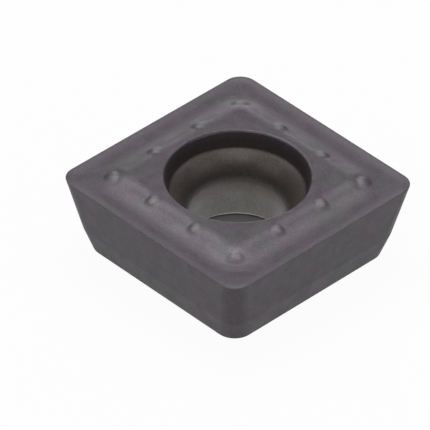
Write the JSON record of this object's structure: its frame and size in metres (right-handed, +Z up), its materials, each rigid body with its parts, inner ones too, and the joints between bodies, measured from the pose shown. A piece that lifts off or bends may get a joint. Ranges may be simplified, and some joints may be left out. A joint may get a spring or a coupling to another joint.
{
  "type": "carbide insert",
  "caption": "Square positive indexable cutting insert with a chip groove round its cutting face, a raised plateau with small nubs, and a rounded screw seat.",
  "frame": {"origin": "centre of the flat seat face under the insert, on the axis of the screw hole", "axes": "+Z up along the screw hole, from the seat face to the cutting face; X and Y parallel to the straight sides"},
  "size_m": [0.0096, 0.0096, 0.0034],
  "materials": {
    "coated_carbide": "satin"
  },
  "bodies": {
    "root": {"insert": "coated_carbide"}
  },
  "joints": []
}
